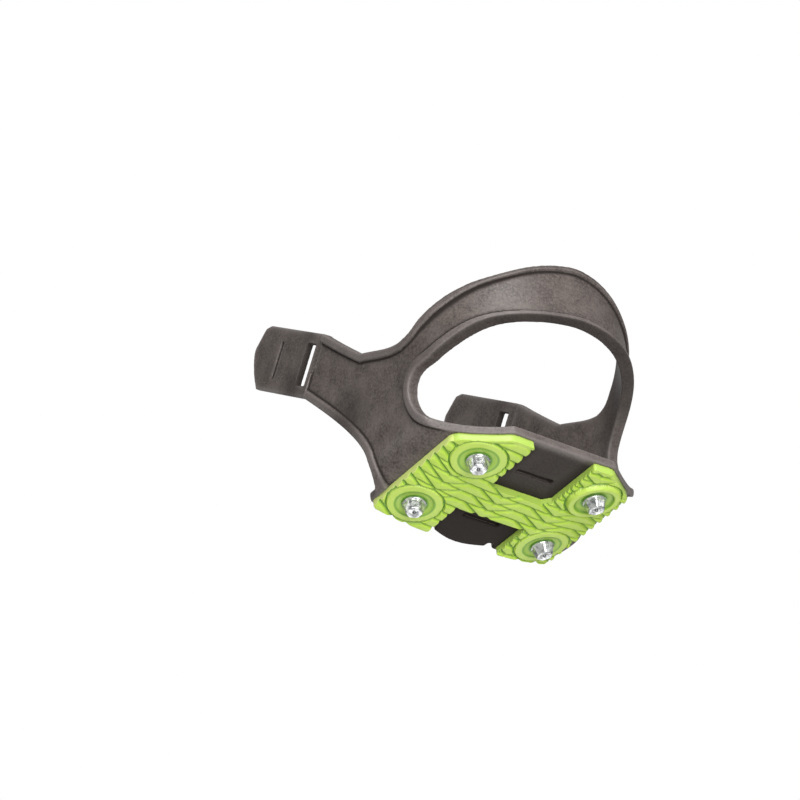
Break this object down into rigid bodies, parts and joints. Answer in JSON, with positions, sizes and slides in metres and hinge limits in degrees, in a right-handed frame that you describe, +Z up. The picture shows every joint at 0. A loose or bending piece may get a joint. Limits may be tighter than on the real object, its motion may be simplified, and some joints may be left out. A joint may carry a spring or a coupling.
{
  "type": "heel ice spur",
  "caption": "Stretch rubber heel harness with a back strap, side pull tabs and an H-shaped studded tread pad that grips ice under a boot heel.",
  "frame": {"origin": "middle of the flat strip of the heel seat, on the floor's upper face", "axes": "+X to the wearer's right, +Y towards the toe, +Z up through the boot heel; the studs point down"},
  "size_m": [0.0842, 0.1174, 0.0981],
  "materials": {
    "harness_rubber": "matte moulded rubber, dark warm grey",
    "tread_rubber": "satin moulded rubber, lime green",
    "stud_steel": "bright zinc-plated steel",
    "tip_carbide": "sintered tungsten carbide, dark grey"
  },
  "bodies": {
    "harness_body": {"harness": "harness_rubber", "tread_pad": "tread_rubber", "stud_front_left": "stud_steel", "stud_front_right": "stud_steel", "stud_rear_left": "stud_steel", "stud_rear_right": "stud_steel", "stud_tip_front_left": "tip_carbide", "stud_tip_front_right": "tip_carbide", "stud_tip_rear_left": "tip_carbide", "stud_tip_rear_right": "tip_carbide", "stud_washer_front_left": "stud_steel", "stud_washer_front_right": "stud_steel", "stud_washer_rear_left": "stud_steel", "stud_washer_rear_right": "stud_steel"},
    "left_tab": {"pull_tab_left": "harness_rubber"},
    "right_tab": {"pull_tab_right": "harness_rubber"}
  },
  "joints": [
    {"name": "left_tab_bend", "type": "hinge", "parent": "harness_body", "child": "left_tab", "pos_m": [-0.0395, 0.0412, 0.0592], "axis": [0, -0.6157, 0.788], "range_deg": [-35, 80], "stiffness_Nm_per_rad": 0.02},
    {"name": "right_tab_bend", "type": "hinge", "parent": "harness_body", "child": "right_tab", "pos_m": [0.0395, 0.0412, 0.0592], "axis": [0, 0.6157, -0.788], "range_deg": [-35, 80], "stiffness_Nm_per_rad": 0.02}
  ]
}
